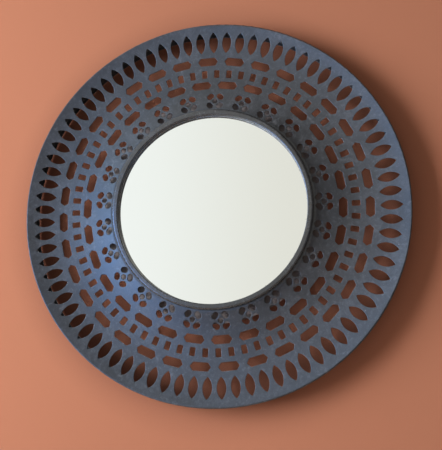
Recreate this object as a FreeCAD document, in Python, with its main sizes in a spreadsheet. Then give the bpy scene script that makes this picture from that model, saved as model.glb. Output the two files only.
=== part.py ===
import FreeCAD, Part
import math
import os
import re
import Sketcher

# Round wall mirror with a pierced, dished steel frame.
# The face looks along -Y, +Z is up and the wall is the plane y = 0.
# The origin is the keyhole of the hanger, where the wall screw goes in.
# Sections are drawn with x as the radius and y as the distance in front of the wall.

DRIVING_SIZES = (
    # Pressed dish: turned-over rim, trough and the flat land round the middle opening
    ("rim_radius", 400.0),
    ("rim_depth", 46.0),
    ("rim_roll", 2.2),
    ("rim_lip", 4.0),
    ("dish_sheet", 1.2),
    ("trough_curve", 340.0),
    ("land_inner", 200.0),
    ("land_outer", 215.0),
    ("land_depth", 35.2),
    # Piercings, from the rim to the middle
    ("leaf_ring", 362.2),
    ("leaf_length", 42.8),
    ("leaf_width", 19.2),
    ("leaf_count", 80),
    ("leaf_turn", 0.57),
    ("slot_length", 43.0),
    ("slot_width", 17.0),
    ("slot_point", 6.0),
    ("outer_slot_ring", 322.0),
    ("outer_slot_count", 35),
    ("outer_slot_turn", 0.29),
    ("dash_ring", 294.5),
    ("dash_length", 17.3),
    ("dash_width", 11.5),
    ("dash_round", 2.0),
    ("dash_count", 70),
    ("dash_turn", 1.84),
    ("inner_slot_ring", 268.9),
    ("inner_slot_count", 30),
    ("inner_slot_turn", 0.12),
    ("flower_ring", 231.5),
    ("petal_out", 10.4),
    ("petal_aside", 10.4),
    ("petal_round", 6.0),
    ("petal_stretch", 2.0),
    ("petal_lean", 45.0),
    ("flower_eye", 5.5),
    ("flower_count", 25),
    ("flower_turn", 3.0),
    # Strip behind the rim, with its flange turned in at the wall
    ("band_sheet", 1.2),
    ("band_bend", 2.0),
    ("band_flange", 9.0),
    # Raised bead round the glass, flat on top
    ("bead_outer", 210.2),
    ("bead_height", 10.0),
    ("bead_round", 4.5),
    ("bead_lip_round", 1.5),
    ("bezel_sheet", 1.2),
    ("opening_radius", 198.2),
    # Glass, what it lies on and what backs it
    ("glass_radius", 200.0),
    ("glass_thickness", 4.0),
    ("glass_arris", 0.8),
    ("glass_drop", 3.2),
    ("seal_thickness", 1.0),
    ("seal_seat", 1.6),
    ("seal_show", 0.4),
    ("card_thickness", 1.5),
    ("card_margin", 1.0),
    ("board_thickness", 3.0),
    ("board_clearance", 1.5),
    ("edge_block_count", 8),
    ("edge_block_angle", 4.0),
    ("edge_block_clearance", 0.1),
    # Channel ring round the edge of the glass, with a wide back flange
    ("well_gap", 3.0),
    ("well_sheet", 1.2),
    ("well_bend", 1.0),
    ("well_front_width", 10.0),
    ("well_back_width", 35.0),
    # Turn buttons and their rivets
    ("pivot_inset", 6.8),
    ("button_count", 6),
    ("button_round", 6.5),
    ("button_reach", 20.0),
    ("button_thickness", 1.5),
    ("button_edge", 0.5),
    ("button_gap", 0.3),
    ("rivet_radius", 2.0),
    ("rivet_clearance", 0.05),
    ("rivet_head_radius", 4.5),
    ("rivet_head_height", 2.0),
    ("rivet_head_round", 1.7),
    ("rivet_tail_radius", 3.2),
    ("rivet_tail_height", 1.2),
    ("washer_radius", 4.8),
    ("washer_thickness", 0.5),
    # Hanger strap with its keyhole
    ("hanger_sheet", 2.0),
    ("hanger_bend", 1.0),
    ("hanger_half", 26.0),
    ("hanger_foot", 36.0),
    ("hanger_toe", 7.0),
    ("foot_drop", 6.0),
    ("strap_height", 10.0),
    ("plate_above", 15.0),
    ("plate_below", 9.0),
    ("keyhole_radius", 5.0),
    ("keyhole_slot", 2.75),
    ("keyhole_rise", 8.0),
    # Rubber dots between the rim band and the wall
    ("bumper_radius", 3.0),
    ("bumper_thickness", 3.0),
    ("bumper_round", 1.0),
    ("bumper_count", 4),
    ("bumper_turn", 45.0),
)

FULL_TURN = 360.0
HALF_TURN = 180.0
QUARTER_TURN = 90.0
FEET = ("-hanger_foot", "hanger_foot")

doc = FreeCAD.newDocument("wall_mirror")
sheet = doc.addObject("Spreadsheet::Sheet", "Sizes")
for row, (alias, size) in enumerate(DRIVING_SIZES, start=1):
    sheet.set(f"A{row}", alias)
    sheet.set(f"B{row}", str(size))
    sheet.setAlias(f"B{row}", alias)
doc.recompute()

SIZE_NAMES = re.compile(r"\b(" + "|".join(alias for alias, size in DRIVING_SIZES) + r")\b")

# Places that several pieces share, worked out from the driving sizes
LAND_BACK = "(land_depth - dish_sheet)"
GLASS_FRONT = "(land_depth - glass_drop)"
GLASS_BACK = f"({GLASS_FRONT} - glass_thickness)"
CARD_BACK = f"({GLASS_BACK} - card_thickness)"
BOARD_BACK = f"({CARD_BACK} - board_thickness)"
SEAL_FRONT = f"({GLASS_FRONT} + seal_thickness)"
WELL_RADIUS = "(glass_radius + well_gap)"
PIVOT_RADIUS = f"({WELL_RADIUS} + pivot_inset)"
BUTTON_FRONT = f"({BOARD_BACK} - button_gap)"
BUTTON_BACK = f"({BUTTON_FRONT} - button_thickness)"
WASHER_FRONT = f"({BUTTON_BACK} - button_gap)"
WASHER_BACK = f"({WASHER_FRONT} - washer_thickness)"
RIVET_HOLE = "(rivet_radius + rivet_clearance)"
FEET_RISE = f"sqrt({PIVOT_RADIUS}^2 - hanger_foot^2)"
CENTRE_DROP = f"({FEET_RISE} + foot_drop)"
BAND_RADIUS = "(rim_radius - dish_sheet)"
ROLL_CENTRE = "(rim_depth - rim_roll)"


def bound(expression):
    """The expression with every size read from the sheet."""
    return SIZE_NAMES.sub(r"Sizes.\1", expression)


def number(expression):
    """The expression's value now, which places a sketch's first guess."""
    return float(sheet.evalExpression(bound(expression)))


def new_body(label, centred=True):
    """An empty piece, set round the mirror's centre or at the keyhole."""
    body = doc.addObject("PartDesign::Body", label)
    body.Label = label
    body.AllowCompound = True
    if centred:
        body.setExpression("Placement.Base.z", bound(f"-{CENTRE_DROP}"))
    return body


def origin_feature(body, role):
    """One of the body's own planes or axes."""
    return next(item for item in body.Origin.OriginFeatures if item.Role == role)


def new_sketch(body, name, plane, axis, turn="0"):
    """A sketch on one of the body's planes, turned about an axis of its own."""
    sketch = body.newObject("Sketcher::SketchObject", name)
    sketch.AttachmentSupport = (origin_feature(body, plane), [""])
    sketch.MapMode = "FlatFace"
    rotation = FreeCAD.Rotation(axis, number(turn))
    sketch.AttachmentOffset = FreeCAD.Placement(FreeCAD.Vector(), rotation)
    if turn != "0":
        sketch.setExpression("AttachmentOffset.Rotation.Angle", bound(turn))
    return sketch


def section_sketch(body, name):
    """A sketch of a section: x is the radius, y the distance in front of the wall."""
    sketch = new_sketch(body, name, "XY_Plane", FreeCAD.Vector(1, 0, 0))
    sketch.AttachmentOffset = FreeCAD.Placement(
        FreeCAD.Vector(), FreeCAD.Rotation(FreeCAD.Vector(1, 0, 0), HALF_TURN))
    return sketch


def face_sketch(body, name, turn="0"):
    """A sketch seen from the front: x to the right, y up, turned about the mirror's axis."""
    return new_sketch(body, name, "XZ_Plane", FreeCAD.Vector(0, 0, 1), turn)


def hold(sketch, expression, *constraint):
    """A dimension that follows the sheet."""
    index = sketch.addConstraint(Sketcher.Constraint(*constraint, number(expression)))
    sketch.setExpression(f"Constraints[{index}]", bound(expression))


def hold_point(sketch, edge, end, x, y):
    """Both coordinates of an edge's end."""
    for kind, expression in (("DistanceX", x), ("DistanceY", y)):
        hold(sketch, expression, kind, -1, 1, edge, end)


def point(x, y):
    return FreeCAD.Vector(x, y, 0)


def line_between(first, second):
    return Part.LineSegment(first, second)


def arc_between(centre, radius, first, second):
    """Arc round a centre from one direction to the next, in degrees, counter-clockwise."""
    circle = Part.Circle(centre, FreeCAD.Vector(0, 0, 1), radius)
    return Part.ArcOfCircle(circle, math.radians(first), math.radians(second))


def direction_angle(vector):
    return math.degrees(math.atan2(vector.y, vector.x))


def join(sketch, *pairs):
    """Edge ends that coincide."""
    for pair in pairs:
        sketch.addConstraint(Sketcher.Constraint("Coincident", *pair))


def blend_ends(sketch, *pairs):
    """Edge ends that meet and run into each other smoothly."""
    for pair in pairs:
        sketch.addConstraint(Sketcher.Constraint("Tangent", *pair))


def level(sketch, *edges):
    for edge in edges:
        sketch.addConstraint(Sketcher.Constraint("Horizontal", edge))


def upright(sketch, *edges):
    for edge in edges:
        sketch.addConstraint(Sketcher.Constraint("Vertical", edge))


def stepped_outline(sketch, corners, rounds=None):
    """Closed outline of level and upright lines, with some corners rounded.

    corners are pairs of expressions, and rounds gives a radius for a corner's index.
    """
    rounds = rounds or {}
    spots = [point(number(x), number(y)) for x, y in corners]
    count = len(spots)
    ways = [(spots[(i + 1) % count] - spots[i]).normalize() for i in range(count)]
    trims = [number(rounds[i]) if i in rounds else 0.0 for i in range(count)]
    sides = []
    for i in range(count):
        start = spots[i] + ways[i] * trims[i]
        end = spots[(i + 1) % count] - ways[i] * trims[(i + 1) % count]
        sides.append(sketch.addGeometry(line_between(start, end)))
    for i in range(count):
        before = sides[i - 1]
        after = sides[i]
        if i in rounds:
            into, out = ways[i - 1], ways[i]
            centre = spots[i] - into * trims[i] + out * trims[i]
            left_turn = into.cross(out).z > 0
            first = direction_angle(-out if left_turn else into)
            arc = sketch.addGeometry(arc_between(centre, trims[i], first, first + QUARTER_TURN))
            entry, leave = (1, 2) if left_turn else (2, 1)
            blend_ends(sketch, (before, 2, arc, entry), (arc, leave, after, 1))
            hold(sketch, rounds[i], "Radius", arc)
        else:
            join(sketch, (before, 2, after, 1))
    for i, (x, y) in enumerate(corners):
        if abs(ways[i].y) < abs(ways[i].x):
            level(sketch, sides[i])
            if number(y) == 0.0:
                sketch.addConstraint(Sketcher.Constraint("PointOnObject", sides[i], 1, -1))
            else:
                hold(sketch, y, "DistanceY", -1, 1, sides[i], 1)
        else:
            upright(sketch, sides[i])
            hold(sketch, x, "DistanceX", -1, 1, sides[i], 1)


def block_outline(sketch, inner, outer, back, front):
    """Plain rectangular section between two radii."""
    stepped_outline(sketch, ((inner, back), (outer, back), (outer, front), (inner, front)))


def stadium_outline(sketch, first, second, radius):
    """Two round ends and the straight sides between them; the ends' centres are expressions."""
    start = point(number(first[0]), number(first[1]))
    end = point(number(second[0]), number(second[1]))
    along = (end - start).normalize()
    aside = point(-along.y, along.x) * number(radius)
    left_way = direction_angle(along) + QUARTER_TURN
    head = sketch.addGeometry(arc_between(start, number(radius), left_way, left_way + HALF_TURN))
    tail = sketch.addGeometry(arc_between(end, number(radius), left_way - HALF_TURN, left_way))
    left = sketch.addGeometry(line_between(start + aside, end + aside))
    right = sketch.addGeometry(line_between(start - aside, end - aside))
    blend_ends(sketch, (left, 1, head, 1), (left, 2, tail, 2))
    blend_ends(sketch, (right, 1, head, 2), (right, 2, tail, 1))
    sketch.addConstraint(Sketcher.Constraint("Equal", head, tail))
    hold(sketch, radius, "Radius", head)
    for arc, centre in ((head, first), (tail, second)):
        if centre == ("0", "0"):
            join(sketch, (arc, 3, -1, 1))
        elif centre[0] == "0":
            sketch.addConstraint(Sketcher.Constraint("PointOnObject", arc, 3, -2))
            hold(sketch, centre[1], "DistanceY", -1, 1, arc, 3)
        elif centre[1] == "0":
            sketch.addConstraint(Sketcher.Constraint("PointOnObject", arc, 3, -1))
            hold(sketch, centre[0], "DistanceX", -1, 1, arc, 3)
        else:
            hold_point(sketch, arc, 3, *centre)


def circle_outline(sketch, x, y, radius):
    """A round hole; an expression of 0 puts its centre on that axis."""
    centre = point(number(x), number(y))
    circle = sketch.addGeometry(Part.Circle(centre, FreeCAD.Vector(0, 0, 1), number(radius)))
    hold(sketch, radius, "Radius", circle)
    for expression, kind, axis in ((x, "DistanceX", -2), (y, "DistanceY", -1)):
        if expression == "0":
            sketch.addConstraint(Sketcher.Constraint("PointOnObject", circle, 3, axis))
        else:
            hold(sketch, expression, kind, -1, 1, circle, 3)


def polygon_outline(sketch, corners):
    """Closed outline of straight sides; an expression of 0 puts a corner on the level axis."""
    spots = [point(number(x), number(y)) for x, y in corners]
    sides = [sketch.addGeometry(line_between(spots[i - 1], spots[i])) for i in range(len(spots))]
    for i, (x, y) in enumerate(corners):
        join(sketch, (sides[i], 2, sides[(i + 1) % len(sides)], 1))
        hold(sketch, x, "DistanceX", -1, 1, sides[i], 2)
        if y == "0":
            sketch.addConstraint(Sketcher.Constraint("PointOnObject", sides[i], 2, -1))
        else:
            hold(sketch, y, "DistanceY", -1, 1, sides[i], 2)


def spin(body, sketch, axis="V_Axis", angle=str(FULL_TURN)):
    """Turn a section about the mirror's axis, or about the sketch's own first axis line."""
    feature = body.newObject("PartDesign::Revolution", f"{body.Label}_turned")
    feature.Profile = sketch
    feature.ReferenceAxis = (sketch, [axis])
    feature.setExpression("Angle", bound(angle))
    doc.recompute()
    return feature


def spin_about(body, sketch, x, low, high):
    """Turn a section about an upright line of its own at a given radius."""
    bottom = point(number(x), number(low))
    top = point(number(x), number(high))
    axis = sketch.addGeometry(line_between(bottom, top), True)
    upright(sketch, axis)
    hold_point(sketch, axis, 1, x, high)
    hold(sketch, f"{high} - {low}", "DistanceY", axis, 2, axis, 1)
    return spin(body, sketch, "Axis0")


def thicken(body, sketch, length, symmetric=False):
    """Give an outline its thickness, along the sketch's normal or to both sides."""
    feature = body.newObject("PartDesign::Pad", f"{sketch.Label}_pad")
    feature.Profile = sketch
    feature.setExpression("Length", bound(length))
    feature.SideType = "Symmetric" if symmetric else "One side"
    doc.recompute()
    return feature


def pierce(body, sketch):
    """Cut an outline right through the body, and make sure that it took something away."""
    before = body.Shape.Volume
    feature = body.newObject("PartDesign::Pocket", f"{sketch.Label}_cut")
    feature.Profile = sketch
    feature.Type = "ThroughAll"
    feature.SideType = "Symmetric"
    doc.recompute()
    if not feature.Shape.Volume < before:
        raise RuntimeError(f"{sketch.Label} cuts nothing")
    return feature


def repeat_round(body, feature, count):
    """Repeat a feature evenly round the mirror's axis."""
    pattern = body.newObject("PartDesign::PolarPattern", f"{feature.Label}_round")
    pattern.Originals = [feature]
    pattern.Axis = (origin_feature(body, "Y_Axis"), [""])
    pattern.Angle = FULL_TURN
    pattern.setExpression("Occurrences", bound(count))
    body.Tip = pattern
    doc.recompute()
    return pattern


def trough_centre(land_end, roll_centre, curve, roll):
    """Centre of the trough's arc, which starts at the land and runs into the rim's roll."""
    gap = roll_centre - land_end
    reach = curve + roll
    along = (curve ** 2 - reach ** 2 + gap.Length ** 2) / (2 * gap.Length)
    aside = math.sqrt(curve ** 2 - along ** 2)
    way = FreeCAD.Vector(gap).normalize()
    return land_end + way * along + point(-way.y, way.x) * aside


def draw_dish(sketch):
    """Section of the dish: land, trough, rolled rim and its straight lip, one sheet thick."""
    thick = number("dish_sheet")
    roll = number("rim_roll")
    curve = number("trough_curve")
    inner = number("land_inner")
    front = number("land_depth")
    back = number(LAND_BACK)
    rim = number("rim_radius")
    roll_height = number(ROLL_CENTRE)
    lip_end = number(f"{ROLL_CENTRE} - rim_lip")
    land_end = point(number("land_outer"), front)
    roll_centre = point(rim - roll, roll_height)
    centre = trough_centre(land_end, roll_centre, curve, roll)
    crest = direction_angle(centre - roll_centre)
    start = direction_angle(land_end - centre)
    end = crest - HALF_TURN
    fall = centre.y - back
    back_x = centre.x - math.sqrt((curve + thick) ** 2 - fall ** 2)
    back_start = direction_angle(point(back_x, back) - centre)

    land_front = sketch.addGeometry(line_between(point(inner, front), land_end))
    trough_front = sketch.addGeometry(arc_between(centre, curve, start, end))
    roll_front = sketch.addGeometry(arc_between(roll_centre, roll, 0, crest))
    lip_outer = sketch.addGeometry(line_between(point(rim, roll_height), point(rim, lip_end)))
    lip_corner = point(rim - thick, lip_end)
    lip_edge = sketch.addGeometry(line_between(point(rim, lip_end), lip_corner))
    lip_inner = sketch.addGeometry(line_between(lip_corner, point(rim - thick, roll_height)))
    roll_back = sketch.addGeometry(arc_between(roll_centre, roll - thick, 0, crest))
    trough_back = sketch.addGeometry(arc_between(centre, curve + thick, back_start, end))
    land_back = sketch.addGeometry(line_between(point(back_x, back), point(inner, back)))
    land_edge = sketch.addGeometry(line_between(point(inner, back), point(inner, front)))

    join(sketch, (land_front, 2, trough_front, 1), (lip_outer, 2, lip_edge, 1))
    join(sketch, (lip_edge, 2, lip_inner, 1), (trough_back, 1, land_back, 1))
    join(sketch, (land_back, 2, land_edge, 1), (land_edge, 2, land_front, 1))
    join(sketch, (trough_front, 3, trough_back, 3), (roll_front, 3, roll_back, 3))
    blend_ends(sketch, (trough_front, 2, roll_front, 2), (roll_front, 1, lip_outer, 1))
    blend_ends(sketch, (lip_inner, 2, roll_back, 1), (roll_back, 2, trough_back, 2))
    level(sketch, land_front, lip_edge, land_back)
    upright(sketch, lip_outer, lip_inner, land_edge)
    hold(sketch, "land_inner", "DistanceX", -1, 1, land_front, 1)
    hold_point(sketch, land_front, 2, "land_outer", "land_depth")
    hold(sketch, LAND_BACK, "DistanceY", -1, 1, land_back, 1)
    hold(sketch, "rim_radius", "DistanceX", -1, 1, lip_outer, 1)
    hold(sketch, ROLL_CENTRE, "DistanceY", -1, 1, roll_front, 3)
    hold(sketch, f"{ROLL_CENTRE} - rim_lip", "DistanceY", -1, 1, lip_edge, 1)
    hold(sketch, "trough_curve", "Radius", trough_front)
    hold(sketch, "rim_roll", "Radius", roll_front)
    hold(sketch, "rim_roll - dish_sheet", "Radius", roll_back)


def draw_leaf(sketch):
    """A leaf that points outwards: two arcs that meet in a point at each end."""
    ring = number("leaf_ring")
    half = number("leaf_length / 2")
    radius = "(leaf_length^2 + leaf_width^2) / (4 * leaf_width)"
    drop = number(f"{radius} - leaf_width / 2")
    spread = math.degrees(math.atan2(half, drop))
    first = QUARTER_TURN - spread
    last = QUARTER_TURN + spread
    upper = sketch.addGeometry(arc_between(point(ring, -drop), number(radius), first, last))
    lower = sketch.addGeometry(
        arc_between(point(ring, drop), number(radius), first + HALF_TURN, last + HALF_TURN))
    join(sketch, (upper, 1, lower, 2), (upper, 2, lower, 1))
    for end, place in ((1, "leaf_ring + leaf_length / 2"), (2, "leaf_ring - leaf_length / 2")):
        sketch.addConstraint(Sketcher.Constraint("PointOnObject", upper, end, -1))
        hold(sketch, place, "DistanceX", -1, 1, upper, end)
    hold(sketch, radius, "Radius", upper)
    hold(sketch, radius, "Radius", lower)


def draw_slot(sketch, ring):
    """A long six-sided slot that lies across the radius, pointed at both ends."""
    half = "slot_length / 2"
    shoulder = "(slot_length / 2 - slot_point)"
    outside = f"{ring} + slot_width / 2"
    inside = f"{ring} - slot_width / 2"
    polygon_outline(sketch, (
        (ring, half), (inside, shoulder), (inside, f"-{shoulder}"),
        (ring, f"-({half})"), (outside, f"-{shoulder}"), (outside, shoulder)))


def draw_dash(sketch):
    """A short upright opening with rounded corners."""
    low = "dash_ring - dash_length / 2"
    high = "dash_ring + dash_length / 2"
    half = "dash_width / 2"
    corners = ((low, f"-{half}"), (high, f"-{half}"), (high, half), (low, half))
    stepped_outline(sketch, corners, {i: "dash_round" for i in range(len(corners))})


def draw_flower(sketch):
    """Four oval petals round a small eye; each petal is longer across its own direction."""
    circle_outline(sketch, "flower_ring", "0", "flower_eye")
    for out in (1, -1):
        for aside in (1, -1):
            x = f"flower_ring + ({out}) * petal_out"
            y = f"({aside}) * petal_aside"
            shift_x = f"({out}) * petal_stretch * cos(petal_lean)"
            shift_y = f"({aside}) * petal_stretch * sin(petal_lean)"
            stadium_outline(
                sketch,
                (f"{x} - {shift_x}", f"{y} + {shift_y}"),
                (f"{x} + {shift_x}", f"{y} - {shift_y}"),
                "petal_round")


def make_piercings(name, draw, *places):
    """One ring of openings as solid plugs, deep enough to go through the dish."""
    body = new_body(f"{name}_plugs")
    sketch = face_sketch(body, name, f"{name}_turn")
    draw(sketch, *places)
    repeat_round(body, thicken(body, sketch, "rim_depth"), f"{name}_count")
    return body


def make_frame_dish():
    """The pressed sheet, with all its piercings cut at once."""
    blank = new_body("dish_blank")
    profile = section_sketch(blank, "dish_section")
    draw_dish(profile)
    spin(blank, profile)
    plugs = doc.addObject("Part::Compound", "dish_plugs")
    plugs.Links = [
        make_piercings("leaf", draw_leaf),
        make_piercings("outer_slot", draw_slot, "outer_slot_ring"),
        make_piercings("dash", draw_dash),
        make_piercings("inner_slot", draw_slot, "inner_slot_ring"),
        make_piercings("flower", draw_flower),
    ]
    dish = doc.addObject("Part::Cut", "frame_dish")
    dish.Base = blank
    dish.Tool = plugs
    dish.Refine = False
    doc.recompute()
    if not dish.Shape.Volume < blank.Shape.Volume:
        raise RuntimeError("the piercings cut nothing")
    return dish


def make_rim_band():
    body = new_body("rim_band")
    profile = section_sketch(body, "band_section")
    outer = BAND_RADIUS
    inner = f"({BAND_RADIUS} - band_sheet)"
    flange = f"({BAND_RADIUS} - band_flange)"
    back = "bumper_thickness"
    front = "(bumper_thickness + band_sheet)"
    corners = (
        (flange, back), (outer, back), (outer, ROLL_CENTRE),
        (inner, ROLL_CENTRE), (inner, front), (flange, front))
    stepped_outline(profile, corners, {1: "band_bend + band_sheet", 4: "band_bend"})
    spin(body, profile)
    return body


def make_mirror_bezel():
    """Hollow bead: upright outer wall, flat top with a round shoulder and an upright wall at the glass."""
    body = new_body("mirror_bezel")
    profile = section_sketch(body, "bezel_section")
    top = "(land_depth + bead_height)"
    under = f"({top} - bezel_sheet)"
    hidden_outer = "(bead_outer - bezel_sheet)"
    hidden_inner = "(opening_radius + bezel_sheet)"
    corners = (
        (hidden_outer, "land_depth"), ("bead_outer", "land_depth"),
        ("bead_outer", top), ("opening_radius", top),
        ("opening_radius", SEAL_FRONT), (hidden_inner, SEAL_FRONT),
        (hidden_inner, under), (hidden_outer, under))
    rounds = {
        2: "bead_round", 3: "bead_lip_round",
        6: "bead_lip_round - bezel_sheet", 7: "bead_round - bezel_sheet"}
    stepped_outline(profile, corners, rounds)
    spin(body, profile)
    return body


def make_disc(label, radius, back, front):
    """A plain round sheet round the mirror's axis."""
    body = new_body(label)
    sketch = face_sketch(body, f"{label}_outline")
    circle_outline(sketch, "0", "0", radius)
    thicken(body, sketch, f"{front} - {back}")
    body.setExpression("Placement.Base.y", bound(f"-{back}"))
    return body


def make_mirror_glass():
    body = make_disc("mirror_glass", "glass_radius", GLASS_BACK, GLASS_FRONT)
    pane = body.Tip
    rims = [f"Edge{i}" for i, edge in enumerate(pane.Shape.Edges, start=1) if edge.isClosed()]
    arris = body.newObject("PartDesign::Chamfer", "glass_edges")
    arris.Base = (pane, rims)
    arris.setExpression("Size", bound("glass_arris"))
    doc.recompute()
    return body


def make_glass_seal():
    body = new_body("glass_seal")
    profile = section_sketch(body, "seal_section")
    inner = "opening_radius - seal_show"
    outer = "opening_radius + seal_seat"
    block_outline(profile, inner, outer, GLASS_FRONT, SEAL_FRONT)
    spin(body, profile)
    return body


def make_glass_blocks():
    body = new_body("glass_blocks")
    profile = section_sketch(body, "edge_block_section")
    inner = "glass_radius + edge_block_clearance"
    outer = f"{WELL_RADIUS} - edge_block_clearance"
    block_outline(profile, inner, outer, GLASS_BACK, GLASS_FRONT)
    repeat_round(body, spin(body, profile, angle="edge_block_angle"), "edge_block_count")
    return body


def make_well_ring():
    """Channel that opens outwards, with holes for the rivets in its back flange."""
    body = new_body("well_ring")
    profile = section_sketch(body, "well_section")
    wall = f"({WELL_RADIUS} + well_sheet)"
    front_edge = f"({WELL_RADIUS} + well_front_width)"
    back_edge = f"({WELL_RADIUS} + well_back_width)"
    front_inside = f"({LAND_BACK} - well_sheet)"
    back_inside = f"({BOARD_BACK} + well_sheet)"
    corners = (
        (WELL_RADIUS, BOARD_BACK), (back_edge, BOARD_BACK), (back_edge, back_inside), (wall, back_inside),
        (wall, front_inside), (front_edge, front_inside), (front_edge, LAND_BACK), (WELL_RADIUS, LAND_BACK))
    outer_bend = "well_bend + well_sheet"
    stepped_outline(profile, corners, {0: outer_bend, 3: "well_bend", 4: "well_bend", 7: outer_bend})
    spin(body, profile)
    pivots = face_sketch(body, "pivot_hole")
    circle_outline(pivots, PIVOT_RADIUS, "0", RIVET_HOLE)
    repeat_round(body, pierce_flange(body, pivots, back_inside), "button_count")
    feet = face_sketch(body, "foot_hole")
    for side in FEET:
        circle_outline(feet, side, FEET_RISE, RIVET_HOLE)
    pierce_flange(body, feet, back_inside)
    return body


def pierce_flange(body, sketch, depth):
    """Cut from the wall side as far as a given distance, so that only the back flange is holed."""
    before = body.Shape.Volume
    feature = body.newObject("PartDesign::Pocket", f"{sketch.Label}_cut")
    feature.Profile = sketch
    feature.Reversed = True
    feature.setExpression("Length", bound(depth))
    doc.recompute()
    if not feature.Shape.Volume < before:
        raise RuntimeError(f"{sketch.Label} cuts nothing")
    return feature


def make_turn_button(index):
    """A flat catch with round ends, whose tip lies over the edge of the board."""
    body = doc.addObject("PartDesign::Body", f"turn_button_{index}")
    body.Label = f"turn_button_{index}"
    outline = face_sketch(body, f"button_outline_{index}")
    stadium_outline(outline, ("0", "0"), ("button_reach", "0"), "button_round")
    circle_outline(outline, "0", "0", RIVET_HOLE)
    plate = thicken(body, outline, "button_thickness")
    rounded = body.newObject("PartDesign::Fillet", f"button_edge_{index}")
    middle = plate.Shape.BoundBox.Center.y
    rims = []
    for place, edge in enumerate(plate.Shape.Edges, start=1):
        if edge.BoundBox.YMin > middle and not edge.isClosed():
            rims.append(f"Edge{place}")
    rounded.Base = (plate, rims)
    rounded.setExpression("Radius", bound("button_edge"))
    body.Tip = rounded
    angle = f"({index} - 1) * {FULL_TURN} / button_count"
    body.Placement.Rotation = FreeCAD.Rotation(FreeCAD.Vector(0, -1, 0), number(angle) + HALF_TURN)
    body.setExpression("Placement.Rotation.Angle", bound(f"{angle} + {HALF_TURN}"))
    body.setExpression("Placement.Base.x", bound(f"{PIVOT_RADIUS} * cos({angle})"))
    body.setExpression("Placement.Base.y", bound(f"-{BUTTON_BACK}"))
    body.setExpression("Placement.Base.z", bound(f"{PIVOT_RADIUS} * sin({angle}) - {CENTRE_DROP}"))
    doc.recompute()
    return body


def draw_rivet(sketch, x, tail_seat, head_seat):
    """Half section of a rivet: flat tail, shank and domed head towards the wall."""
    shank = f"{x} + rivet_radius"
    tail = f"{x} + rivet_tail_radius"
    head = f"{x} + rivet_head_radius"
    top = f"({tail_seat} + rivet_tail_height)"
    bottom = f"({head_seat} - rivet_head_height)"
    corners = (
        (x, bottom), (head, bottom), (head, head_seat), (shank, head_seat),
        (shank, tail_seat), (tail, tail_seat), (tail, top), (x, top))
    stepped_outline(sketch, corners, {1: "rivet_head_round"})
    return bottom, top


def make_button_rivets():
    body = new_body("button_rivets")
    profile = section_sketch(body, "button_rivet_section")
    bottom, top = draw_rivet(profile, PIVOT_RADIUS, f"({BOARD_BACK} + well_sheet)", WASHER_BACK)
    repeat_round(body, spin_about(body, profile, PIVOT_RADIUS, bottom, top), "button_count")
    return body


def make_button_washers():
    body = new_body("button_washers")
    profile = section_sketch(body, "washer_section")
    inner = f"{PIVOT_RADIUS} + {RIVET_HOLE}"
    outer = f"{PIVOT_RADIUS} + washer_radius"
    block_outline(profile, inner, outer, WASHER_BACK, WASHER_FRONT)
    washer = spin_about(body, profile, PIVOT_RADIUS, WASHER_BACK, WASHER_FRONT)
    repeat_round(body, washer, "button_count")
    return body


def make_hanger_bracket():
    """Hat-shaped strap whose raised plate lies on the wall and holds the keyhole."""
    body = new_body("hanger_bracket", centred=False)
    strap = section_sketch(body, "strap_section")
    half = "hanger_half"
    inside = "(hanger_half - hanger_sheet)"
    toe = "(hanger_foot + hanger_toe)"
    foot_back = f"({BOARD_BACK} - hanger_sheet)"
    corners = (
        (f"-{half}", "0"), (half, "0"), (half, foot_back), (toe, foot_back),
        (toe, BOARD_BACK), (inside, BOARD_BACK), (inside, "hanger_sheet"), (f"-{inside}", "hanger_sheet"),
        (f"-{inside}", BOARD_BACK), (f"-{toe}", BOARD_BACK), (f"-{toe}", foot_back), (f"-{half}", foot_back))
    bend = "hanger_bend"
    outer_bend = "hanger_bend + hanger_sheet"
    rounds = {
        0: outer_bend, 1: outer_bend, 2: bend, 5: outer_bend,
        6: bend, 7: bend, 8: outer_bend, 11: bend}
    stepped_outline(strap, corners, rounds)
    thicken(body, strap, "strap_height", symmetric=True)
    strap.setExpression("AttachmentOffset.Base.z", bound("-foot_drop"))
    doc.recompute()
    plate = face_sketch(body, "hanger_plate")
    edge = f"({half} - {outer_bend})"
    plate_corners = (
        (f"-{edge}", "-plate_below"), (edge, "-plate_below"),
        (edge, "plate_above"), (f"-{edge}", "plate_above"))
    stepped_outline(plate, plate_corners, {2: outer_bend, 3: outer_bend})
    thicken(body, plate, "hanger_sheet")
    entry = face_sketch(body, "keyhole_entry")
    circle_outline(entry, "0", "0", "keyhole_radius")
    pierce(body, entry)
    slot = face_sketch(body, "keyhole_neck")
    stadium_outline(slot, ("0", "0"), ("0", "keyhole_rise"), "keyhole_slot")
    pierce(body, slot)
    feet = face_sketch(body, "strap_foot_hole")
    for side in FEET:
        circle_outline(feet, side, "-foot_drop", RIVET_HOLE)
    pierce(body, feet)
    return body


def make_hanger_rivets():
    body = new_body("hanger_rivets", centred=False)
    profile = section_sketch(body, "hanger_rivet_section")
    tail_seat = f"({BOARD_BACK} + well_sheet)"
    head_seat = f"({BOARD_BACK} - hanger_sheet)"
    bottom, top = draw_rivet(profile, "hanger_foot", tail_seat, head_seat)
    repeat_round(body, spin_about(body, profile, "hanger_foot", bottom, top), str(len(FEET)))
    body.setExpression("Placement.Base.z", bound("-foot_drop"))
    doc.recompute()
    return body


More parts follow.
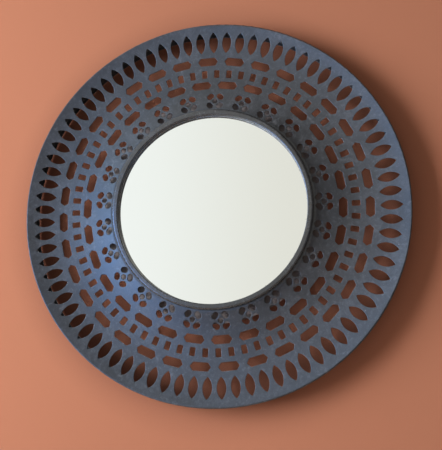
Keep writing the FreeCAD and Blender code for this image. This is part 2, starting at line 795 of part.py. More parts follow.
def make_wall_bumpers():
    body = new_body("wall_bumpers")
    profile = section_sketch(body, "bumper_section")
    middle = f"({BAND_RADIUS} - (band_flange + band_bend + band_sheet) / 2)"
    edge = f"{middle} + bumper_radius"
    corners = ((middle, "0"), (edge, "0"), (edge, "bumper_thickness"), (middle, "bumper_thickness"))
    stepped_outline(profile, corners, {1: "bumper_round"})
    repeat_round(body, spin_about(body, profile, middle, "0", "bumper_thickness"), "bumper_count")
    body.Placement.Rotation = FreeCAD.Rotation(FreeCAD.Vector(0, -1, 0), number("bumper_turn"))
    body.setExpression("Placement.Rotation.Angle", bound("bumper_turn"))
    doc.recompute()
    return body


def write_pieces(pieces):
    """Refuse a failed object or a broken shape, then write one file for each piece."""
    doc.recompute()
    for item in doc.Objects:
        if "Invalid" in item.State or "Error" in item.State:
            raise RuntimeError(f"{item.Name} failed: {item.State}")
    for body in pieces:
        if body.Shape.isNull() or not body.Shape.isValid() or not body.Shape.Solids:
            raise RuntimeError(f"{body.Label} has no valid shape")
    os.makedirs("parts", exist_ok=True)
    for body in pieces:
        body.Shape.exportStep(f"parts/{body.Label}.step")
        box = body.Shape.BoundBox
        print(f"{body.Label}: {len(body.Shape.Solids)} solids, {body.Shape.Volume:.1f} mm3, "
              f"y {box.YMin:.2f} to {box.YMax:.2f}, z {box.ZMin:.2f} to {box.ZMax:.2f}")


write_pieces([
    make_frame_dish(),
    make_rim_band(),
    make_mirror_bezel(),
    make_glass_seal(),
    make_mirror_glass(),
    make_glass_blocks(),
    make_disc("cushion_sheet", "glass_radius - card_margin", CARD_BACK, GLASS_BACK),
    make_disc("backing_board", f"{WELL_RADIUS} - board_clearance", BOARD_BACK, CARD_BACK),
    make_well_ring(),
    *[make_turn_button(index) for index in range(1, int(number("button_count")) + 1)],
    make_button_rivets(),
    make_button_washers(),
    make_hanger_bracket(),
    make_hanger_rivets(),
    make_wall_bumpers(),
])
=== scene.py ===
"""Looks, stage and camera for a round pierced wall mirror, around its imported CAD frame."""
import math

import bpy
from mathutils import Euler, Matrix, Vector


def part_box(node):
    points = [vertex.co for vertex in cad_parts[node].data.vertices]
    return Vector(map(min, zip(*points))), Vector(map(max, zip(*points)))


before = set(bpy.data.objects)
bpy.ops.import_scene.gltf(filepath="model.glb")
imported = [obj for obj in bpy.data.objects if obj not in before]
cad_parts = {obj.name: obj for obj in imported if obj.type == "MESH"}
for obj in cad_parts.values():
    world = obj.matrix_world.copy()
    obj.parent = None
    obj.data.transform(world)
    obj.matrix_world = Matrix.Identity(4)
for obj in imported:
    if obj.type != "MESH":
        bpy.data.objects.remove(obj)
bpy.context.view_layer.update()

bl_info = {
    "name": "Pierced wall mirror",
    "version": (1, 0, 0),
    "blender": (4, 5, 0),
    "location": "View3D > Sidebar > Mirror",
    "description": "Paints, glazes and lights a round wall mirror with a pierced steel frame",
    "category": "Object",
}

# The glass, which the lamps are aimed at
GLASS_LOW, GLASS_HIGH = (Vector(corner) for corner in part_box("mirror_glass"))
GLASS_CENTRE = (GLASS_LOW + GLASS_HIGH) / 2
GLASS_RADIUS = (GLASS_HIGH.x - GLASS_LOW.x) / 2

# Nodes that share the zinc plating
BUTTON_NODES = tuple(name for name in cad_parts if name.startswith("turn_button_"))
PLATED_NODES = BUTTON_NODES + ("button_rivets", "button_washers", "hanger_bracket", "hanger_rivets")

# Slate paint, in metres: sizes of its marks and of its unevenness
STIPPLE = 0.007
GRAIN = 0.0016
SCUFFS = 0.030
RUBS = 0.009
SPECK_SPACING = 0.021
SPECK_GROUPS = 0.030
ORANGE_PEEL = 0.0035
BUCKLES = 0.060

# Slate paint: broad patches as a multiple of the clouds, and the largest speck as a share of its spacing
BROAD_CLOUDS = 4
LARGEST_SPECK = 0.055

# Primer, in metres
PRIMER_STREAKS = 0.012
PRIMER_DUST = 0.0022

# Glass and felt, in metres, with how far inside the glass's edge foxing starts and is full
SMEARS = 0.09
MIST = 0.012
FOX_SPOTS = 0.006
FOX_START = 0.0053
FOX_FULL = 0.0016
FELT_FIBRE = 0.0011

# Board, card, rubber and zinc, in metres
BOARD_FIBRE = 0.004
BOARD_FLOCK = 0.06
BOARD_MESH = 0.0022
CARD_PULP = 0.003
RUBBER_BLOOM = 0.004
ZINC_SPANGLE = 0.008
ZINC_BRUSHING = 0.0012
ZINC_STAINS = 0.018
ZINC_EDGE = 0.0005

# Wall and floor, in metres: gap behind the object, reach of the painted shade round it and size of soft
# patches
WALL_GAP = 0.0004
PAINTED_SHADE_REACH = 0.08
STAGE_PATCHES = 0.5

# Wall and floor: brightness of the soft patches, as a share of the rest
PATCH_SHADE = 0.96

# Lamps, in metres: where each stands, and its width and height
KEY_PLACE = (-2.85, -1.6, -0.1)
KEY_SIZE = (1.6, 2.0)
SKY_PLACE = (-2.0, -2.2, -0.50)
SKY_SIZE = (1.9, 1.6)
BACK_PLACE = (-0.9, 2.0, 0.8)
BACK_SIZE = (1.6, 1.6)

# Camera: width of its picture frame, in millimetres
SENSOR_WIDTH = 36

# Sockets of a Mix node that take its two colours, and the one that gives the mixed colour
MIX_FIRST = 6
MIX_SECOND = 7
MIX_RESULT = 2


class PaintSettings(bpy.types.PropertyGroup):
    """Slate paint of the pressed steel pieces, and primer of the ring round the glass."""
    colour: bpy.props.FloatVectorProperty(
        name="Paint", description="Main colour of the slate paint", subtype="COLOR", size=4, min=0, max=1,
        default=(0.0345, 0.0355, 0.0385, 1))
    faded: bpy.props.FloatVectorProperty(
        name="Faded paint", description="Paint where it has gone grey", subtype="COLOR", size=4, min=0,
        max=1, default=(0.0500, 0.0512, 0.0550, 1))
    deep: bpy.props.FloatVectorProperty(
        name="Deep paint", description="Paint where it lies thick", subtype="COLOR", size=4, min=0, max=1,
        default=(0.0220, 0.0228, 0.0250, 1))
    # The worn colour also lightens every edge, partly as wear and partly as a painted edge highlight.
    worn: bpy.props.FloatVectorProperty(
        name="Worn paint", description="Paint rubbed along edges and in scuffs", subtype="COLOR", size=4,
        min=0, max=1, default=(0.175, 0.188, 0.215, 1))
    primer: bpy.props.FloatVectorProperty(
        name="Primer", description="Primer on the ring round the glass's edge", subtype="COLOR", size=4,
        min=0, max=1, default=(0.140, 0.116, 0.116, 1))
    dusty: bpy.props.FloatVectorProperty(
        name="Dusty primer", description="Primer where dust lies on it", subtype="COLOR", size=4, min=0,
        max=1, default=(0.205, 0.185, 0.186, 1))
    cloud: bpy.props.FloatProperty(
        name="Cloud size", description="Size of the soft patches in the paint", subtype="DISTANCE",
        unit="LENGTH", default=0.045, min=0.005)
    # Rubbed edges are partly real wear and partly a painted edge highlight.
    edge: bpy.props.FloatProperty(
        name="Edge wear", description="Width of the rubbed paint along edges", subtype="DISTANCE",
        unit="LENGTH", default=0.0016, min=0.0001)


class GlassSettings(bpy.types.PropertyGroup):
    """Silvered glass and the felt round it."""
    silver: bpy.props.FloatVectorProperty(
        name="Silver", description="Tint of the silvered glass", subtype="COLOR", size=4, min=0, max=1,
        default=(0.93, 0.94, 0.92, 1))
    foxed: bpy.props.FloatVectorProperty(
        name="Foxed silver", description="Spots where the silver has gone at the rim", subtype="COLOR",
        size=4, min=0, max=1, default=(0.30, 0.29, 0.26, 1))
    felt: bpy.props.FloatVectorProperty(
        name="Felt", description="Colour of the felt seal", subtype="COLOR", size=4, min=0, max=1,
        default=(0.30, 0.32, 0.34, 1))
    felt_shade: bpy.props.FloatVectorProperty(
        name="Felt shade", description="Felt between its fibres", subtype="COLOR", size=4, min=0, max=1,
        default=(0.18, 0.19, 0.20, 1))


class BackSettings(bpy.types.PropertyGroup):
    """Board, card, rubber and plated pieces behind the glass."""
    board: bpy.props.FloatVectorProperty(
        name="Hardboard", description="Colour of the backing board", subtype="COLOR", size=4, min=0, max=1,
        default=(0.225, 0.128, 0.066, 1))
    board_fibre: bpy.props.FloatVectorProperty(
        name="Board fibre", description="Dark fibres in the board", subtype="COLOR", size=4, min=0, max=1,
        default=(0.115, 0.062, 0.032, 1))
    board_flock: bpy.props.FloatVectorProperty(
        name="Board flock", description="Pale patches in the board", subtype="COLOR", size=4, min=0, max=1,
        default=(0.30, 0.185, 0.105, 1))
    card: bpy.props.FloatVectorProperty(
        name="Card", description="Colour of the card behind the glass", subtype="COLOR", size=4, min=0,
        max=1, default=(0.27, 0.255, 0.23, 1))
    card_pulp: bpy.props.FloatVectorProperty(
        name="Card pulp", description="Dark pulp in the card", subtype="COLOR", size=4, min=0, max=1,
        default=(0.19, 0.18, 0.16, 1))
    rubber: bpy.props.FloatVectorProperty(
        name="Rubber", description="Colour of bumpers and blocks", subtype="COLOR", size=4, min=0, max=1,
        default=(0.030, 0.030, 0.031, 1))
    bloom: bpy.props.FloatVectorProperty(
        name="Rubber bloom", description="Rubber that has gone grey", subtype="COLOR", size=4, min=0, max=1,
        default=(0.075, 0.073, 0.07, 1))
    plating: bpy.props.FloatVectorProperty(
        name="Plating", description="Colour of the zinc plating", subtype="COLOR", size=4, min=0, max=1,
        default=(0.60, 0.60, 0.58, 1))
    dull_plating: bpy.props.FloatVectorProperty(
        name="Dull plating", description="Plating in its darker spangles", subtype="COLOR", size=4, min=0,
        max=1, default=(0.46, 0.465, 0.47, 1))
    stain: bpy.props.FloatVectorProperty(
        name="Stain", description="Brown stains on the plating", subtype="COLOR", size=4, min=0, max=1,
        default=(0.30, 0.255, 0.19, 1))
    bright_edge: bpy.props.FloatVectorProperty(
        name="Bright edge", description="Plating rubbed along edges", subtype="COLOR", size=4, min=0, max=1,
        default=(0.72, 0.72, 0.71, 1))


class StageSettings(bpy.types.PropertyGroup):
    """Wall, floor, room, lamps and camera."""
    wall: bpy.props.FloatVectorProperty(
        name="Wall", description="Colour of the wall", subtype="COLOR", size=4, min=0, max=1,
        default=(0.44, 0.185, 0.115, 1))
    # Painted shade: the wall's colour darkens towards this where the frame closes it in.
    painted_recess_shade: bpy.props.FloatVectorProperty(
        name="Recess", description="Colour of the wall where the frame closes it in", subtype="COLOR",
        size=4, min=0, max=1, default=(0.13, 0.050, 0.036, 1))
    floor: bpy.props.FloatVectorProperty(
        name="Floor", description="Colour of the floor", subtype="COLOR", size=4, min=0, max=1,
        default=(0.70, 0.66, 0.60, 1))
    floor_height: bpy.props.FloatProperty(
        name="Floor height", description="Floor level, measured from the keyhole", subtype="DISTANCE",
        unit="LENGTH", default=-1.65)
    reach: bpy.props.FloatProperty(
        name="Reach", description="Half width of wall and floor", subtype="DISTANCE", unit="LENGTH",
        default=6.0, min=1)
    room: bpy.props.FloatVectorProperty(
        name="Room", description="Pale room in front of the glass", subtype="COLOR", size=4, min=0, max=1,
        default=(0.79, 0.785, 0.72, 1))
    bright_room: bpy.props.FloatVectorProperty(
        name="Bright side", description="Room towards the key lamp, as gloss shows it", subtype="COLOR",
        size=4, min=0, max=1, default=(0.94, 0.975, 0.955, 1))
    far_room: bpy.props.FloatVectorProperty(
        name="Far side", description="Room away from the key lamp and above, as gloss shows it",
        subtype="COLOR", size=4, min=0, max=1, default=(0.15, 0.145, 0.145, 1))
    low_room: bpy.props.FloatVectorProperty(
        name="Low side", description="Room below the mirror, as gloss shows it", subtype="COLOR", size=4,
        min=0, max=1, default=(0.16, 0.24, 0.40, 1))
    shed: bpy.props.FloatVectorProperty(
        name="Room light", description="Weak light that the room sheds on everything", subtype="COLOR",
        size=4, min=0, max=1, default=(0.30, 0.27, 0.24, 1))
    key_power: bpy.props.FloatProperty(
        name="Key power", description="Power of the soft key lamp on the left", unit="POWER", default=64,
        min=0)
    key_spread: bpy.props.FloatProperty(
        name="Key spread", description="Angle that the key lamp's light fills", subtype="ANGLE",
        default=math.radians(100))
    high_sky_power: bpy.props.FloatProperty(
        name="High sky power", description="Power of the sky at the key lamp, which only gloss shows",
        unit="POWER", default=86, min=0)
    high_sky: bpy.props.FloatVectorProperty(
        name="High sky", description="Blue of the sky at the key lamp", subtype="COLOR", size=4, min=0,
        max=1, default=(0.07, 0.55, 1.0, 1))
    sky_power: bpy.props.FloatProperty(
        name="Sky power", description="Power of the sky in front, which only gloss shows", unit="POWER",
        default=80, min=0)
    sky: bpy.props.FloatVectorProperty(
        name="Sky", description="Blue of the sky in front", subtype="COLOR", size=4, min=0, max=1,
        default=(0.20, 0.42, 1.0, 1))
    back_power: bpy.props.FloatProperty(
        name="Back power", description="Power of the lamp behind the wall", unit="POWER", default=80, min=0)
    camera_place: bpy.props.FloatVectorProperty(
        name="Camera place", description="Where the camera stands", subtype="TRANSLATION", unit="LENGTH",
        size=3, default=(0.20932, -1.21373, -0.44436))
    camera_turn: bpy.props.FloatVectorProperty(
        name="Camera turn", description="How the camera is turned", subtype="EULER", unit="ROTATION",
        size=3, default=tuple(math.radians(angle) for angle in (99.2737, -1.4444, 8.7758)))
    lens: bpy.props.FloatProperty(
        name="Lens", description="Focal length in millimetres", subtype="DISTANCE_CAMERA", unit="CAMERA",
        default=47.2, min=1)


class Wiring:
    """Nodes of one tree, wired up by short calls."""

    def __init__(self, tree):
        self.tree = tree

    def node(self, kind, **settings):
        """One new shader node with its settings."""
        node = self.tree.nodes.new(f"ShaderNode{kind}")
        for name, value in settings.items():
            setattr(node, name, value)
        return node

    def wire(self, socket, value):
        """Links a socket to another one or sets its value."""
        if isinstance(value, bpy.types.NodeSocket):
            self.tree.links.new(value, socket)
        else:
            socket.default_value = value

    def calculate(self, operation, first, second, clamp=False):
        """One Math node."""
        node = self.node("Math", operation=operation, use_clamp=clamp)
        self.wire(node.inputs[0], first)
        self.wire(node.inputs[1], second)
        return node.outputs[0]

    def vector(self, operation, first, second=(0, 0, 0), output="Vector"):
        """One Vector Math node."""
        node = self.node("VectorMath", operation=operation)
        self.wire(node.inputs[0], first)
        self.wire(node.inputs[1], second)
        return node.outputs[output]

    def span(self, value, start, full, least=0.0, most=1.0):
        """Least as far as start and most beyond full, with a smooth change between the two."""
        node = self.node("MapRange", interpolation_type="SMOOTHSTEP")
        limits = {"Value": value, "From Min": start, "From Max": full, "To Min": least, "To Max": most}
        for name, limit in limits.items():
            self.wire(node.inputs[name], limit)
        return node.outputs[0]

    def blend(self, share, first, second):
        """Mixes a share of the second colour into the first."""
        node = self.node("Mix", data_type="RGBA")
        self.wire(node.inputs["Factor"], share)
        self.wire(node.inputs[MIX_FIRST], first)
        self.wire(node.inputs[MIX_SECOND], second)
        return node.outputs[MIX_RESULT]

    def layer(self, colour, tone, marks, start, full, most=1.0):
        """Lays a tone over a colour by the marks: none as far as start and the share most beyond full."""
        return self.blend(self.span(marks, start, full, most=most), colour, tone)


class Finish(Wiring):
    """One material being wired up from nodes, in the object's own space."""

    def __init__(self, name):
        self.material = bpy.data.materials.new(name)
        self.material.use_nodes = True
        super().__init__(self.material.node_tree)
        self.tree.nodes.clear()
        self.surface = self.node("OutputMaterial").inputs["Surface"]
        self.shader = self.node("BsdfPrincipled")
        self.wire(self.surface, self.shader.outputs["BSDF"])
        self.place = self.node("TexCoord").outputs["Object"]

    def set(self, **values):
        """Sets sockets of the main shader, with spaces written as underscores."""
        for name, value in values.items():
            self.wire(self.shader.inputs[name.replace("_", " ")], value)

    def noise(self, size, detail, rough, warp=0.0, squeeze=None):
        """Soft noise with patches of about this size in metres, longer along an axis squeezed below 1."""
        node = self.node("TexNoise")
        place = self.vector("MULTIPLY", self.place, squeeze) if squeeze else self.place
        self.wire(node.inputs["Vector"], place)
        self.wire(node.inputs["Scale"], 1 / size)
        self.wire(node.inputs["Detail"], detail)
        self.wire(node.inputs["Roughness"], rough)
        self.wire(node.inputs["Distortion"], warp)
        return node.outputs["Fac"]

    def cells(self, size, random=1.0):
        """Distance from the middles of cells about this size in metres, as a share of that size."""
        node = self.node("TexVoronoi")
        self.wire(node.inputs["Vector"], self.place)
        self.wire(node.inputs["Scale"], 1 / size)
        self.wire(node.inputs["Randomness"], random)
        return node.outputs["Distance"]

    def radius(self):
        """Distance from the axis of the glass."""
        offset = self.vector("SUBTRACT", self.place, GLASS_CENTRE)
        return self.vector("LENGTH", self.vector("MULTIPLY", offset, (1, 0, 1)), output="Value")

    def edges(self, width):
        """How far a normal rounded over this width leaves the true one, and that rounded normal."""
        bevel = self.node("Bevel", samples=6)
        self.wire(bevel.inputs["Radius"], width)
        rounded = bevel.outputs["Normal"]
        true = self.node("NewGeometry").outputs["Normal"]
        likeness = self.vector("DOT_PRODUCT", rounded, true, output="Value")
        return self.calculate("SUBTRACT", 1.0, likeness, clamp=True), rounded

    def bump(self, height, depth, strength, under=None):
        """Raises the surface by a height field, depth metres from 0 to 1, over another normal if given."""
        node = self.node("Bump")
        self.wire(node.inputs["Height"], height)
        self.wire(node.inputs["Distance"], depth)
        self.wire(node.inputs["Strength"], strength)
        if under is not None:
            self.wire(node.inputs["Normal"], under)
        return node.outputs["Normal"]


def cover(names, finish):
    """Gives CAD nodes one finish."""
    for name in names:
        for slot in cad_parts[name].material_slots:
            slot.material = finish.material


def slate_paint(name, settings, wear, grit=1.0, polish=0.0, shine=0.75):
    """Satin slate paint on pressed steel, greyed in patches and rubbed along edges.

    wear is the share of rubbed edges, which are partly real wear and partly a painted edge highlight,
    and grit that of pale stipple, grain and scuffs. polish makes the gloss sharper and shine makes it
    stronger.
    """
    paint = Finish(name)
    clouds = paint.noise(settings.cloud, detail=4, rough=0.6, warp=0.4)
    broad = paint.noise(settings.cloud * BROAD_CLOUDS, detail=2, rough=0.5)
    stipple = paint.noise(STIPPLE, detail=3, rough=0.6, warp=0.6)
    grain = paint.noise(GRAIN, detail=2, rough=0.6)
    scuffs = paint.noise(SCUFFS, detail=5, rough=0.68, warp=0.9)
    colour = paint.layer(settings.colour, settings.faded, clouds, start=0.40, full=0.68)
    colour = paint.layer(colour, settings.deep, broad, start=0.52, full=0.30)
    colour = paint.layer(colour, settings.deep, stipple, start=0.58, full=0.30, most=0.75)
    colour = paint.layer(colour, settings.worn, stipple, start=0.52, full=0.80, most=0.30 * grit)
    colour = paint.layer(colour, settings.worn, grain, start=0.60, full=0.80, most=0.40 * grit)
    colour = paint.layer(colour, settings.worn, scuffs, start=0.60, full=0.76, most=0.45 * grit)

    groups = paint.noise(SPECK_GROUPS, detail=1, rough=0.55)
    speck = paint.span(groups, start=0.45, full=0.75, most=LARGEST_SPECK)
    chipped = paint.calculate("LESS_THAN", paint.cells(SPECK_SPACING), speck)
    colour = paint.blend(chipped, colour, settings.worn)

    # Rubbed edges: partly real wear, partly a painted highlight that lightens every edge.
    edge, rounded = paint.edges(settings.edge)
    rubs = paint.noise(RUBS, detail=3, rough=0.65)
    rubbed = paint.calculate("MULTIPLY", paint.span(edge, start=0.01, full=0.24),
                             paint.span(rubs, start=0.30, full=0.62, least=0.35 * wear, most=wear))
    colour = paint.blend(rubbed, colour, settings.worn)

    cloudy = paint.span(clouds, start=0.30, full=0.75, least=0.37 - polish, most=0.47 - polish)
    stippled = paint.span(stipple, start=0.3, full=0.7, most=0.06)
    peel = paint.noise(ORANGE_PEEL, detail=2, rough=0.5)
    buckles = paint.noise(BUCKLES, detail=1, rough=0.4)
    normal = paint.bump(peel, depth=0.00006, strength=0.6, under=rounded)
    normal = paint.bump(stipple, depth=0.00014, strength=0.7, under=normal)
    normal = paint.bump(buckles, depth=0.0012, strength=0.35, under=normal)
    paint.set(Base_Color=colour, Roughness=paint.calculate("ADD", cloudy, stippled), Normal=normal,
              Specular_IOR_Level=shine)
    return paint


def bare_primer(settings):
    """Dull primer with streaks and dust."""
    primer = Finish("bare_primer")
    streaks = primer.noise(PRIMER_STREAKS, detail=4, rough=0.6, warp=0.8)
    dust = primer.noise(PRIMER_DUST, detail=3, rough=0.6)
    colour = primer.layer(settings.primer, settings.dusty, streaks, start=0.35, full=0.70)
    colour = primer.layer(colour, settings.dusty, dust, start=0.50, full=0.80, most=0.35)
    primer.set(Base_Color=colour, Roughness=0.75, Specular_IOR_Level=0.25,
               Normal=primer.bump(dust, depth=0.0001, strength=0.6))
    return primer


def silvered_glass(settings):
    """Mirror glass with a faint haze where it was wiped, and foxing at its rim."""
    silver = Finish("silvered_glass")
    smears = silver.noise(SMEARS, detail=4, rough=0.6, warp=0.8, squeeze=(1, 1, 0.35))
    mist = silver.noise(MIST, detail=3, rough=0.6)
    haze = silver.calculate("MULTIPLY", silver.span(smears, start=0.52, full=0.72),
                            silver.span(mist, start=0.35, full=0.7))
    rim = silver.span(silver.radius(), start=GLASS_RADIUS - FOX_START, full=GLASS_RADIUS - FOX_FULL)
    spots = silver.noise(FOX_SPOTS, detail=4, rough=0.7)
    foxing = silver.calculate("MULTIPLY", rim, silver.span(spots, start=0.55, full=0.72))
    silver.set(Base_Color=silver.blend(foxing, settings.silver, settings.foxed), Metallic=1.0,
               Roughness=silver.span(haze, start=0, full=1, least=0.004, most=0.05))
    return silver


def pale_felt(settings):
    """Soft grey felt."""
    felt = Finish("pale_felt")
    fibre = felt.noise(FELT_FIBRE, detail=4, rough=0.7, warp=1.5)
    felt.set(Base_Color=felt.layer(settings.felt, settings.felt_shade, fibre, start=0.3, full=0.7),
             Roughness=0.95, Sheen_Weight=0.35, Sheen_Roughness=0.6,
             Normal=felt.bump(fibre, depth=0.0003, strength=0.8))
    return felt


def pressed_hardboard(settings):
    """Brown hardboard with the print of a wire mesh."""
    board = Finish("pressed_hardboard")
    fibre = board.noise(BOARD_FIBRE, detail=5, rough=0.7, warp=1.2, squeeze=(1, 1, 0.3))
    flock = board.noise(BOARD_FLOCK, detail=3, rough=0.6)
    colour = board.layer(settings.board, settings.board_fibre, fibre, start=0.30, full=0.72)
    colour = board.layer(colour, settings.board_flock, flock, start=0.35, full=0.75, most=0.55)
    normal = board.bump(board.cells(BOARD_MESH, random=0.12), depth=0.00035, strength=0.7)
    normal = board.bump(fibre, depth=0.00025, strength=0.6, under=normal)
    board.set(Base_Color=colour, Normal=normal, Specular_IOR_Level=0.3,
              Roughness=board.span(fibre, start=0.2, full=0.8, least=0.62, most=0.85))
    return board


def grey_card(settings):
    """Grey card with visible pulp."""
    card = Finish("grey_card")
    pulp = card.noise(CARD_PULP, detail=5, rough=0.7)
    card.set(Base_Color=card.layer(settings.card, settings.card_pulp, pulp, start=0.3, full=0.7),
             Roughness=0.9, Normal=card.bump(pulp, depth=0.0001, strength=0.6))
    return card


def black_rubber(settings):
    """Black rubber with a grey bloom."""
    rubber = Finish("black_rubber")
    bloom = rubber.noise(RUBBER_BLOOM, detail=4, rough=0.65)
    rubber.set(Base_Color=rubber.layer(settings.rubber, settings.bloom, bloom, start=0.45, full=0.8),
               Roughness=rubber.span(bloom, start=0.3, full=0.7, least=0.55, most=0.8),
               Normal=rubber.bump(bloom, depth=0.00012, strength=0.6), Specular_IOR_Level=0.35)
    return rubber


def dull_zinc(settings):
    """Brushed zinc plating with spangles, brown stains and bright edges."""
    zinc = Finish("dull_zinc")
    spangle = zinc.noise(ZINC_SPANGLE, detail=3, rough=0.6, warp=0.6)
    brushing = zinc.noise(ZINC_BRUSHING, detail=3, rough=0.6, squeeze=(0.12, 1, 1))
    stains = zinc.noise(ZINC_STAINS, detail=4, rough=0.65)
    edge, rounded = zinc.edges(ZINC_EDGE)
    colour = zinc.layer(settings.plating, settings.dull_plating, spangle, start=0.35, full=0.7)
    colour = zinc.layer(colour, settings.stain, stains, start=0.60, full=0.82, most=0.6)
    colour = zinc.layer(colour, settings.bright_edge, edge, start=0.03, full=0.3, most=0.6)
    zinc.set(Base_Color=colour, Metallic=1.0,
             Roughness=zinc.span(brushing, start=0.25, full=0.75, least=0.28, most=0.46),
             Normal=zinc.bump(brushing, depth=0.00004, strength=0.5, under=rounded))
    return zinc


class MIRROR_OT_paint_frame(bpy.types.Operator):
    """Paint the pierced dish, and the band behind its rim, where the paint is less worn and has less
    painted edge highlight
    """
    bl_idname = "mirror.paint_frame"
    bl_label = "Paint the frame"

    def execute(self, context):
        settings = context.scene.mirror_paint
        cover(("frame_dish",), slate_paint("slate_paint", settings, wear=0.5))
        cover(("rim_band",), slate_paint("sheltered_paint", settings, wear=0.1))
        return {"FINISHED"}


class MIRROR_OT_prime_ring(bpy.types.Operator):
    """Prime the ring round the edge of the glass"""
    bl_idname = "mirror.prime_ring"
    bl_label = "Prime the ring"

    def execute(self, context):
        cover(("well_ring",), bare_primer(context.scene.mirror_paint))
        return {"FINISHED"}


class MIRROR_OT_paint_bezel(bpy.types.Operator):
    """Paint the raised bead round the glass, smoother and glossier than the dish"""
    bl_idname = "mirror.paint_bezel"
    bl_label = "Paint the bezel"

    def execute(self, context):
        settings = context.scene.mirror_paint
        cover(("mirror_bezel",),
              slate_paint("bezel_paint", settings, wear=0.2, grit=0.3, polish=0.20, shine=0.9))
        return {"FINISHED"}


class MIRROR_OT_silver_glass(bpy.types.Operator):
    """Silver the round glass"""
    bl_idname = "mirror.silver_glass"
    bl_label = "Silver the glass"

    def execute(self, context):
        cover(("mirror_glass",), silvered_glass(context.scene.mirror_glass))
        return {"FINISHED"}


class MIRROR_OT_lay_felt(bpy.types.Operator):
    """Lay the felt seal between the bezel and the glass"""
    bl_idname = "mirror.lay_felt"
    bl_label = "Lay the felt"

    def execute(self, context):
        cover(("glass_seal",), pale_felt(context.scene.mirror_glass))
        return {"FINISHED"}


class MIRROR_OT_finish_sheets(bpy.types.Operator):
    """Finish the hardboard at the back and the card between it and the glass"""
    bl_idname = "mirror.finish_sheets"
    bl_label = "Finish the board and card"

    def execute(self, context):
        settings = context.scene.mirror_back
        cover(("backing_board",), pressed_hardboard(settings))
        cover(("cushion_sheet",), grey_card(settings))
        return {"FINISHED"}


class MIRROR_OT_finish_rubber(bpy.types.Operator):
    """Finish the blocks round the glass and the bumpers at the wall"""
    bl_idname = "mirror.finish_rubber"
    bl_label = "Finish the rubber"

    def execute(self, context):
        cover(("glass_blocks", "wall_bumpers"), black_rubber(context.scene.mirror_back))
        return {"FINISHED"}


class MIRROR_OT_plate_fittings(bpy.types.Operator):
    """Plate the turn buttons, rivets, washers and hanger with dull zinc"""
    bl_idname = "mirror.plate_fittings"
    bl_label = "Plate the fittings"

    def execute(self, context):
        cover(PLATED_NODES, dull_zinc(context.scene.mirror_back))
        return {"FINISHED"}


def patchy(finish, colour):
    """A colour with large soft patches that are slightly darker."""
    darker = tuple(value * PATCH_SHADE for value in colour[:3]) + (1,)
    return finish.blend(finish.noise(STAGE_PATCHES, detail=2, rough=0.5), colour, darker)


def pale_floor(settings):
    """Plain matt floor."""
    ground = Finish("pale_floor")
    ground.set(Base_Color=patchy(ground, settings.floor), Roughness=0.9, Specular_IOR_Level=0.0)
    return ground


def one_way_plaster(settings):
    """Matt plaster with painted shade where the frame closes it in, and can be looked through from behind.
    """
    plaster = Finish("one_way_plaster")
    # Painted shade: ambient occlusion darkens the wall's colour towards the recess shade behind and round
    # the frame.
    painted_shade_ao = plaster.node("AmbientOcclusion", samples=8)
    plaster.wire(painted_shade_ao.inputs["Distance"], PAINTED_SHADE_REACH)
    colour = plaster.blend(painted_shade_ao.outputs["AO"], settings.painted_recess_shade, patchy(plaster, settings.wall))
    plaster.set(Base_Color=colour, Roughness=0.9, Specular_IOR_Level=0.0)
    sides = plaster.node("MixShader")
    plaster.wire(sides.inputs[0], plaster.node("NewGeometry").outputs["Backfacing"])
    plaster.wire(sides.inputs[1], plaster.shader.outputs["BSDF"])
    plaster.wire(sides.inputs[2], plaster.node("BsdfTransparent").outputs["BSDF"])
    plaster.wire(plaster.surface, sides.outputs[0])
    return plaster


def flat_sheet(name, corners, finish):
    """One four-cornered sheet of the stage."""
    mesh = bpy.data.meshes.new(name)
    mesh.from_pydata(corners, [], [(0, 1, 2, 3)])
    mesh.materials.append(finish.material)
    sheet = bpy.data.objects.new(name, mesh)
    bpy.context.scene.collection.objects.link(sheet)
    return sheet


def wall_and_floor(settings):
    """A floor below the mirror, and a wall behind it that casts no shadow."""
    reach, low = settings.reach, settings.floor_height
    flat_sheet("floor", ((-reach, -reach, low), (reach, -reach, low), (reach, reach, low),
                         (-reach, reach, low)), pale_floor(settings))
    wall = flat_sheet("wall", ((-reach, WALL_GAP, low), (reach, WALL_GAP, low), (reach, WALL_GAP, reach),
                               (-reach, WALL_GAP, reach)), one_way_plaster(settings))
    wall.visible_shadow = False


def soft_lamp(name, place, size, power, tint=(1, 1, 1)):
    """One rectangular area lamp aimed at the middle of the glass."""
    data = bpy.data.lights.new(name, "AREA")
    data.shape = "RECTANGLE"
    data.size, data.size_y = size
    data.energy = power
    data.color = tint
    lamp = bpy.data.objects.new(name, data)
    lamp.location = place
    lamp.rotation_euler = (GLASS_CENTRE - Vector(place)).to_track_quat("-Z", "Y").to_euler()
    bpy.context.scene.collection.objects.link(lamp)
    return lamp


def hang_lamps(settings):
    """A key lamp that gloss doesn't show, blue skies that only gloss shows, and a lamp behind the wall."""
    key = soft_lamp("key_lamp", KEY_PLACE, KEY_SIZE, settings.key_power)
    key.visible_glossy = False
    key.data.spread = settings.key_spread
    high_sky = soft_lamp("high_sky_lamp", KEY_PLACE, KEY_SIZE, settings.high_sky_power,
                         settings.high_sky[:3])
    high_sky.visible_diffuse = False
    sky = soft_lamp("sky_lamp", SKY_PLACE, SKY_SIZE, settings.sky_power, settings.sky[:3])
    sky.visible_diffuse = False
    soft_lamp("back_lamp", BACK_PLACE, BACK_SIZE, settings.back_power)


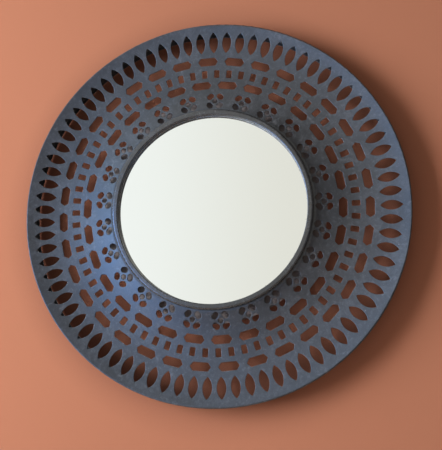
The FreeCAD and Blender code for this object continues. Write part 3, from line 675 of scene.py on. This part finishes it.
def light_room(scene, settings):
    """Pale room: what the camera and gloss see of it, and the weaker light that it sheds."""
    world = bpy.data.worlds.new("pale_room")
    scene.world = world
    world.use_nodes = True
    air = Wiring(world.node_tree)
    path = air.node("LightPath").outputs
    seen = air.calculate("ADD", path["Is Camera Ray"], path["Is Glossy Ray"])
    seen = air.calculate("ADD", seen, path["Is Transmission Ray"], clamp=True)

    # The room by how far a direction points to the right or up
    direction = air.node("SeparateXYZ")
    air.wire(direction.inputs[0], air.node("TexCoord").outputs["Generated"])
    right, up = direction.outputs["X"], direction.outputs["Z"]
    gloss = air.layer(settings.room, settings.far_room, right, start=0.02, full=0.30)
    gloss = air.layer(gloss, settings.far_room, up, start=0.345, full=0.44)
    gloss = air.layer(gloss, settings.low_room, up, start=0.00, full=-0.25)
    gloss = air.layer(settings.bright_room, gloss, right, start=-0.36, full=0.02)

    shown = air.blend(path["Is Camera Ray"], gloss, settings.room)
    background = world.node_tree.nodes["Background"]
    air.wire(background.inputs["Color"], air.blend(seen, settings.shed, shown))


def place_camera(scene, settings):
    """The camera, which looks up at the mirror from a little to the right."""
    data = bpy.data.cameras.new("camera")
    data.lens = settings.lens
    data.sensor_width = SENSOR_WIDTH
    camera = bpy.data.objects.new("camera", data)
    camera.location = settings.camera_place
    camera.rotation_euler = Euler(settings.camera_turn)
    scene.collection.objects.link(camera)
    scene.camera = camera


class MIRROR_OT_set_stage(bpy.types.Operator):
    """Build the plain wall and pale floor, the lamps, the room and the camera"""
    bl_idname = "mirror.set_stage"
    bl_label = "Set the stage"

    def execute(self, context):
        scene = context.scene
        settings = scene.mirror_stage
        wall_and_floor(settings)
        hang_lamps(settings)
        light_room(scene, settings)
        place_camera(scene, settings)
        scene.view_settings.view_transform = "Standard"
        return {"FINISHED"}


class MIRROR_PT_panel(bpy.types.Panel):
    """Lists the steps and the values that a user would change"""
    bl_idname = "MIRROR_PT_panel"
    bl_label = "Pierced wall mirror"
    bl_space_type = "VIEW_3D"
    bl_region_type = "UI"
    bl_category = "Mirror"

    def draw(self, context):
        for operator in STEPS:
            self.layout.operator(operator.bl_idname)
        for name in SETTINGS:
            group = getattr(context.scene, name)
            box = self.layout.box()
            for prop in group.bl_rna.properties:
                if prop.identifier not in ("rna_type", "name"):
                    box.prop(group, prop.identifier)


SETTINGS = {"mirror_paint": PaintSettings, "mirror_glass": GlassSettings, "mirror_back": BackSettings,
            "mirror_stage": StageSettings}
STEPS = (MIRROR_OT_paint_frame, MIRROR_OT_prime_ring, MIRROR_OT_paint_bezel, MIRROR_OT_silver_glass,
         MIRROR_OT_lay_felt, MIRROR_OT_finish_sheets, MIRROR_OT_finish_rubber, MIRROR_OT_plate_fittings,
         MIRROR_OT_set_stage)
CLASSES = (*SETTINGS.values(), *STEPS, MIRROR_PT_panel)


def register():
    """Registers the classes and hangs the settings on the scene."""
    for kind in CLASSES:
        bpy.utils.register_class(kind)
    for name, group in SETTINGS.items():
        setattr(bpy.types.Scene, name, bpy.props.PointerProperty(type=group))


def unregister():
    """Takes the settings and classes away again."""
    for name in SETTINGS:
        delattr(bpy.types.Scene, name)
    for kind in reversed(CLASSES):
        bpy.utils.unregister_class(kind)


def main():
    """Runs every step."""
    register()
    for operator in STEPS:
        family, step = operator.bl_idname.split(".")
        getattr(getattr(bpy.ops, family), step)()


if __name__ == "__main__":
    main()
